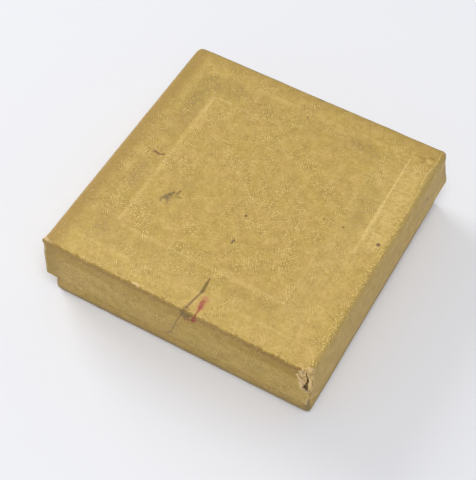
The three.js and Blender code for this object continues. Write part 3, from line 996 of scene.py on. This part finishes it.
# Rubbed upper edges of the sunk frame: strength, and points with their radius
ARRISES = [
    (0.85, [(25.65, 9, 0.15), (25.4, 26.2, 0.13)]),
    (0.45, [(25.9, -2, 0.2), (25.65, 9, 0.2)]),
    (0.55, [(26, 2, 0.4), (25.7, 13, 0.35)]),
    (0.5, [(-20.9, 15.5, 0.2), (-20.9, 20, 0.2)]),
    (0.45, [(-20.2, 20.4, 0.18), (-16.4, 20.4, 0.18)]),
    (0.22, [(-20.9, -19.5, 0.4), (-20.9, 20, 0.4), (-12, 20.2, 0.3)]),
    (0.2, [(-20, -20.3, 0.4), (19, -20.3, 0.4)]),
    (0.3, [(19.5, -20.3, 0.36), (19.5, -8, 0.3)]),
    (0.22, [(19.5, 9, 0.3), (19.5, 20.3, 0.3)]),
    (0.16, [(-25, 27, 0.3), (25, 27, 0.3)]),
    (0.12, [(-26.9, -26, 0.3), (-26.9, 26, 0.3)]),
    (0.18, [(-26, -26.9, 0.3), (25, -26.9, 0.3)]),
]

# The lid paper's marks are shared out over tiles, so that each tile's material has only its own
TILE_LINES_X = (-10, 12)
TILE_LINES_Y = (-18, 14)
TILE_COLUMNS = len(TILE_LINES_X) + 1
TILE_ROWS = len(TILE_LINES_Y) + 1
TILE_MARGIN = 3.0
FAR = 1000.0
# How far a mark fades beside its line, as a share of its radius
SOFT = 0.85
SHARP = 0.55


def tile_number(flat):
    """Number of the tile that a place on the unfolded lid paper falls in."""
    column = int(np.searchsorted(TILE_LINES_X, flat[0]))
    row = int(np.searchsorted(TILE_LINES_Y, flat[1]))
    return column + TILE_COLUMNS * (TILE_ROWS - 1 - row)


def touches_tile(points, number):
    """True where a mark through these points can reach into a tile."""
    column = number % TILE_COLUMNS
    row = TILE_ROWS - 1 - number // TILE_COLUMNS
    for axis, lines, place in ((0, TILE_LINES_X, column), (1, TILE_LINES_Y, row)):
        borders = (-FAR, *lines, FAR)
        reach = TILE_MARGIN + 2 * max(point[2] for point in points)
        along = [point[axis] for point in points]
        if max(along) + reach < borders[place] or min(along) - reach > borders[place + 1]:
            return False
    return True


def lay_marks(net, marks, tile, place, softness, thinning):
    """Paints the marks that reach into a tile."""
    for colour, strength, points in marks:
        if touches_tile(points, tile):
            cover = strokes(net, place, points, softness)
            net.paint(colour, cover, thinning, strength)


def gold_paper(name, tile=None):
    """Bronze-gold paper with a fine embossed grain, with painted highlight on the grain's ridges and
    painted shade in its hollows, soiled in its sunk frame and rubbed on its edges.
    """
    net = Shader(name)
    flat = net.attribute("flat", "Vector")
    # Patches of fine parallel lines, each patch with its own direction
    drift = net.noise(flat, 0.5, 2, output="Color")
    sway = net.moved(flat, drift, 1.6)
    inputs = {"Vector": sway, "Scale": 0.44, "Randomness": 1.0}
    cells = net.node("ShaderNodeTexVoronoi", inputs, voronoi_dimensions="2D")
    pick = net.node("ShaderNodeSeparateColor", {"Color": cells.outputs["Color"]}).outputs
    angle = net.times(pick[0], math.pi)
    drift = net.noise(flat, 0.6, 2, output="Color")
    bent = net.moved(flat, drift, 0.36)
    inputs = {"Vector": bent, "Angle": angle}
    turned = net.node("ShaderNodeVectorRotate", inputs, rotation_type="Z_AXIS")
    across = net.parts(turned.outputs[0])[0]
    pitch = net.blend(pick[1], 2 * math.pi / 0.58, 2 * math.pi / 0.44)
    lines = net.range(net.math("SINE", net.times(across, pitch)), -1, 1, 0, 1)
    beads = net.patches(0.4, 0.6, flat, 1.7, 3, 0.7)
    lines = net.times(lines, net.blend(beads, 0.05, 1.1))
    # The grain stands out in some patches and is worn away in others
    patchy = net.math("MULTIPLY_ADD", pick[2], 0.42, net.noise(flat, 0.17, 3, 0.65))
    relief = net.step(patchy, 0.64, 0.9)
    fine = net.noise(flat, 2.1, 3, 0.72)
    raised = net.times(net.minus(lines, 0.3), net.blend(relief, 0.12, 1.15))
    height = net.math("MULTIPLY_ADD", net.minus(fine, 0.5), 1.7, raised)
    if tile is not None:
        on_right_wall = net.step(net.parts(flat)[0], 32.0, 33.0)
        height = net.times(height, net.blend(on_right_wall, 1, 0.35))
    # Colour in broad blotches, with painted shade in the hollows of the grain and painted highlight on
    # its ridges
    blotch = net.patches(0.38, 0.62, flat, 0.13, 4, 0.65)
    smear = net.minus(net.noise(flat, 0.42, 3, 0.65), 0.5)
    net.tone = net.mix(blotch, GOLD_OLIVE, GOLD_ROSE)
    net.paint(GOLD, 0.4)
    light = net.math("MULTIPLY_ADD", smear, 1.7, height)
    net.paint(GOLD_RIDGE, net.range(light, 0.0, 0.85, 0, 0.85))
    net.paint(GOLD_HOLLOW, net.range(light, 0.0, -0.7, 0, 0.9))
    specks = net.patches(0.64, 0.72, flat, 2.2, 2, 0.6)
    net.paint(SCUFF_BROWN, specks, 0.6)
    if tile is None:
        # Painted shade low on the base and along its upright corners, over random duller patches
        middle = (BASE_CENTRE[0] * MM, BASE_CENTRE[1] * MM, 0)
        place = net.vector("ABSOLUTE", net.vector("SUBTRACT", net.objects_place(), middle))
        from_x, from_y, level = net.parts(place)
        in_corner = net.math("MINIMUM", from_x, from_y)
        corner = net.step(in_corner, (BASE_HALF - 1.2) * MM, (BASE_HALF - 0.1) * MM)
        low = net.step(level, 2.8 * MM, 0.2 * MM)
        base_shade = net.math("MAXIMUM", low, corner)
        dull = net.range(net.noise(flat, 0.4, 4, 0.7), 0.36, 0.64, 0, 0.3)
        net.paint(GOLD_HOLLOW, dull)
        net.paint(BASE_PAINTED_SHADE, base_shade, net.range(fine, 0.3, 0.7, 0.5, 0.9))
    else:
        lid_wear(net, flat, lines, tile)
    net.set(Base_Color=net.tone, Metallic=0.2)
    net.set(Roughness=net.range(height, -0.5, 0.7, 0.66, 0.46))
    net.bump(height, 0.05 * MM, 0.8)
    return net.material


def lid_wear(net, flat, lines, tile):
    """Soil, rubbed edges, stains and torn edges of the lid's paper, with painted shade and highlights
    along its edges, laid over its tone.
    """
    # Places are millimetres from the lid's middle on the unfolded paper, with its folds near 32
    flat_x, flat_y, _ = net.parts(flat)
    fray = net.vector("SUBTRACT", net.noise(flat, 1.5, 3, 0.65, output="Color"), (0.5, 0.5, 0.5))
    frayed = net.moved(flat, fray, 1.1)
    waved = net.moved(flat, fray, 0.25)
    mottle = net.patches(0.36, 0.62, flat, 1.1, 4, 0.72)
    grains = net.patches(0.44, 0.58, flat, 2.4, 2, 0.6)
    # Walls a little duller than the top
    on_wall = net.math("MAXIMUM", net.math("ABSOLUTE", flat_x), net.math("ABSOLUTE", flat_y))
    dull = net.range(net.noise(flat, 0.4, 4, 0.7), 0.36, 0.64, 0, 0.21)
    net.paint(GOLD_HOLLOW, net.step(on_wall, 31.8, 32.6), dull)
    # Soil settled in the sunk frame
    size_x = net.math("ABSOLUTE", net.minus(flat_x, FRAME_SHIFT))
    size_y = net.math("ABSOLUTE", flat_y)
    square = net.math("MAXIMUM", size_x, size_y)
    sunk = net.between(square, 20.2, 22.0, 25.0, 26.6)
    patch = net.patches(0.36, 0.66, flat, 0.12, 3, 0.6)
    net.paint(SOIL, sunk, net.blend(patch, 0.05, 0.28), mottle)
    # Rubbed frame edges
    rubbed = [(GOLD_RUBBED, *arris) for arris in ARRISES]
    lay_marks(net, rubbed, tile, waved, SOFT, net.blend(grains, 0.2, 1))
    # Painted shade in a brown band under the front edge, where the wall is pressed in, darkest beside
    # the torn corner and along the edge itself
    frayed_x, frayed_y, _ = net.parts(frayed)
    band = net.between(frayed_y, -31.5, -31.9, -35.0, -36.6)
    near_tear = net.step(frayed_x, 10, 28)
    net.paint(FRONT_BAND_SHADE, band, net.blend(near_tear, 0.4, 0.78), net.blend(mottle, 0.55, 1))
    wander = net.minus(net.noise(flat, 0.55, 3, 0.6), 0.5)
    ragged_y = net.math("MULTIPLY_ADD", wander, 2.2, frayed_y)
    crease_shade = net.between(ragged_y, -31.55, -31.95, -32.8, -33.9)
    net.paint(UNDER_EDGE_SHADE, crease_shade, net.blend(near_tear, 0.6, 0.85), net.blend(grains, 0.45, 0.95))
    # Bent fold along the right edge: a painted highlight along the fold line, bright in its grains, and
    # painted shade beyond it where the edge leans down
    waved_x = net.parts(waved)[0]
    bend = net.between(flat_y, 18.5, 22.5, 24, 28.5)
    fold_x = net.math("MULTIPLY_ADD", bend, 0.6, waved_x)
    near_crease = net.step(flat_y, 10, 20)
    beyond = net.times(net.step(fold_x, 31.4, 31.7), net.step(flat_x, 33.0, 32.4))
    net.paint(FOLD_PAINTED_SHADE, beyond, net.blend(near_crease, 0.65, 1), net.blend(mottle, 0.4, 0.75))
    fold_highlight = net.times(net.between(fold_x, 30.85, 31.1, 31.2, 31.5), net.step(flat_y, 0, 22))
    net.paint(GOLD_RUBBED, fold_highlight, net.blend(grains, 0.1, 1), net.blend(mottle, 0.3, 0.9))
    beside = net.between(fold_x, 30.1, 30.7, 31.5, 31.9)
    net.paint(SCUFF_BROWN, beside, near_crease, net.blend(grains, 0.26, 0))
    # Painted glints on the grain's ridges along the rest of it, with painted shade between them
    edge_glint_zone = net.times(net.between(frayed_x, 29.7, 30.9, 31.7, 32.2), net.step(flat_y, 20, 10))
    net.paint(EDGE_PAINTED_GLINT, edge_glint_zone, lines, 0.9)
    net.paint(GOLD_HOLLOW, edge_glint_zone, net.minus(1.0, lines), 0.42)
    # Painted shade along the left and back edges, and grey painted shade along the fold itself
    on_left = net.times(net.between(flat_x, -26.6, -31.2, -32.5, -34.0), 0.8)
    on_back = net.times(net.between(flat_y, 27.6, 32.0, 32.5, 34.0), 0.5)
    left_back_shade = net.math("MAXIMUM", on_left, on_back)
    net.paint(GOLD_HOLLOW, left_back_shade, net.blend(mottle, 0.8, 1.15))
    left_fold = net.between(flat_x, -31.3, -31.9, -32.5, -33.2)
    back_fold = net.between(flat_y, 31.2, 31.8, 32.5, 33.2)
    folds = net.math("MAXIMUM", left_fold, back_fold)
    net.paint(FOLD_GREY_SHADE, folds, net.blend(mottle, 0.35, 0.65))
    # Stains and strokes
    lay_marks(net, STAINS, tile, frayed, SOFT, net.blend(mottle, 0.12, 1))
    lay_marks(net, STROKES, tile, waved, SHARP, net.blend(mottle, 0.75, 1))
    # Pale fibres where the paper is torn
    bare = net.attribute("bare", "Fac")
    ragged = net.math("MULTIPLY_ADD", net.minus(mottle, 0.5), 0.8, bare)
    net.paint(BARE_PAPER, net.step(ragged, 0.25, 0.8))


def pulp_board(name, torn):
    """Grey-brown pulp board with short fibres, paler where it is torn open, with painted shade in the
    split.
    """
    net = Shader(name)
    place = net.objects_place()
    stretched = net.vector("MULTIPLY", place, (1.0, 1.0, 0.3))
    fibres = net.noise(stretched, 1100, 4, 0.7)
    flecks = net.patches(0.62, 0.7, place, 420, 2)
    net.tone = net.mix(net.step(fibres, 0.3, 0.7), (0.24, 0.17, 0.09), (0.42, 0.33, 0.21))
    net.paint((0.13, 0.09, 0.06), flecks, 0.5)
    if torn:
        pale = net.mix(net.step(fibres, 0.32, 0.68), (0.56, 0.38, 0.14), (0.88, 0.64, 0.30))
        blotches = net.patches(0.46, 0.66, place, 900, 3, 0.7)
        pale = net.mix(net.times(blotches, 0.7), pale, (0.40, 0.25, 0.09))
        net.paint(pale, net.attribute("bare", "Fac"))
        # Painted shade in the split, where the board is only dented in
        net.paint((0.13, 0.07, 0.014), net.step(net.attribute("split", "Fac"), 0.1, 0.8))
    net.set(Base_Color=net.tone, Roughness=0.95)
    net.bump(fibres, 0.06 * MM, 0.7)
    return net.material


def plain_paper(name, shade, light):
    """Uncoated paper with fibres and faint age blotches."""
    net = Shader(name)
    place = net.objects_place()
    fibres = net.noise(place, 1500, 3, 0.7)
    age = net.patches(0.35, 0.7, place, 90, 3, 0.6)
    mixed = net.math("MULTIPLY_ADD", fibres, 0.5, net.times(age, 0.5))
    net.set(Base_Color=net.mix(mixed, shade, light), Roughness=0.88)
    net.bump(fibres, 0.02 * MM, 0.5)
    return net.material


def torn_fibre(name):
    """Pale loose fibres."""
    net = Shader(name)
    place = net.objects_place()
    vary = net.noise(place, 700, 2)
    net.set(Base_Color=net.mix(vary, (0.56, 0.38, 0.16), (0.86, 0.64, 0.32)), Roughness=0.95)
    return net.material


def velvet_cloth(name):
    """Deep blue cotton velvet with a short pile, brushed different ways."""
    net = Shader(name)
    place = net.objects_place()
    pile = net.noise(place, 2600, 2, 0.6)
    nap = net.patches(0.3, 0.7, place, 110, 3, 0.6)
    net.tone = net.mix(nap, (0.009, 0.015, 0.075), (0.019, 0.031, 0.140))
    net.paint((0.03, 0.045, 0.19), net.range(pile, 0.35, 0.65, 0, 0.5))
    net.set(Base_Color=net.tone, Roughness=0.92)
    net.set(Sheen_Weight=0.55, Sheen_Roughness=0.4, Sheen_Tint=(0.35, 0.45, 0.9))
    net.bump(pile, 0.12 * MM, 0.8)
    return net.material


def satin_cloth(name):
    """Cream satin with fine floats of thread and a soft sheen."""
    net = Shader(name)
    place = net.objects_place()
    drawn = net.vector("MULTIPLY", place, (0.12, 1.0, 1.0))
    floats = net.noise(drawn, 4200, 2, 0.6)
    age = net.patches(0.4, 0.75, place, 70, 3, 0.6)
    net.tone = net.mix(net.range(floats, 0.3, 0.7, 0, 1), (0.70, 0.61, 0.44), (0.86, 0.79, 0.62))
    net.paint((0.66, 0.52, 0.30), age, 0.25)
    net.set(Base_Color=net.tone, Roughness=net.range(floats, 0.3, 0.7, 0.42, 0.3))
    net.set(Sheen_Weight=0.2, Anisotropic=0.5)
    net.bump(floats, 0.02 * MM, 0.5)
    return net.material


# Pieces
tiles = range(TILE_COLUMNS * TILE_ROWS)
gold_lid = [gold_paper(f"gold_paper_lid_{number + 1}", number) for number in tiles]
gold_base = gold_paper("gold_paper_base")
board = pulp_board("pulp_board", False)
torn_board = pulp_board("torn_pulp_board", True)
stay_paper = plain_paper("stay_paper", (0.40, 0.29, 0.15), (0.62, 0.49, 0.29))
bottom_paper = plain_paper("bottom_paper", (0.52, 0.45, 0.31), (0.74, 0.68, 0.53))
wadding = plain_paper("wadding", (0.74, 0.69, 0.57), (0.88, 0.84, 0.74))
fibre = torn_fibre("torn_fibre")
lid_cover([*gold_lid, fibre])
base_cover([gold_base])
lid_board([torn_board])
for number, (side_x, side_y) in enumerate(((1, 1), (-1, 1), (-1, -1), (1, -1)), 1):
    lid_stay(number, side_x, side_y, [stay_paper])
torn_fibres([fibre])
velvet_fitting([velvet_cloth("velvet")])
padded_satin([satin_cloth("satin")])

SLOT_MATERIALS = {
    "chipboard": board,
    "stay_paper": stay_paper,
    "bottom_paper": bottom_paper,
    "wadding": wadding,
}
for part in frame["record"]["subparts"]:
    material = SLOT_MATERIALS.get(part["material_slot"])
    if material:
        node = frame["nodes"][part["node"]]
        for material_slot in node.material_slots:
            material_slot.material = material


# Floor and light
FLOOR_SIZE = 3.0
floor_grid = bmesh.new()
bmesh.ops.create_grid(floor_grid, x_segments=8, y_segments=8, size=FLOOR_SIZE / MM)
floor_net = Shader("floor")
floor_tone = floor_net.noise(floor_net.objects_place(), 3.0, 2)
floor_tone = floor_net.mix(floor_tone, (0.832, 0.838, 0.872), (0.852, 0.858, 0.888))
floor_net.set(Base_Color=floor_tone, Roughness=0.8)
floor = write_object("floor", floor_grid, [floor_net.material])


def softbox(name, place, size, power):
    """A square soft light that faces the box."""
    data = bpy.data.lights.new(name, "AREA")
    data.shape = "SQUARE"
    data.size = size
    data.energy = power
    lamp = bpy.data.objects.new(name, data)
    lamp.location = place
    lamp.rotation_mode = "QUATERNION"
    lamp.rotation_quaternion = Vector(place).to_track_quat("Z", "Y")
    bpy.context.collection.objects.link(lamp)


softbox("key", (0.22, -0.31, 0.97), 0.55, 5.1)
softbox("side", (-0.92, 0.35, 0.48), 0.55, 6.0)
world = bpy.data.worlds.new("studio")
world.use_nodes = True
sky = world.node_tree.nodes["Background"].inputs
sky["Color"].default_value = (0.97, 0.975, 1.0, 1.0)
sky["Strength"].default_value = 0.43
bpy.context.scene.world = world
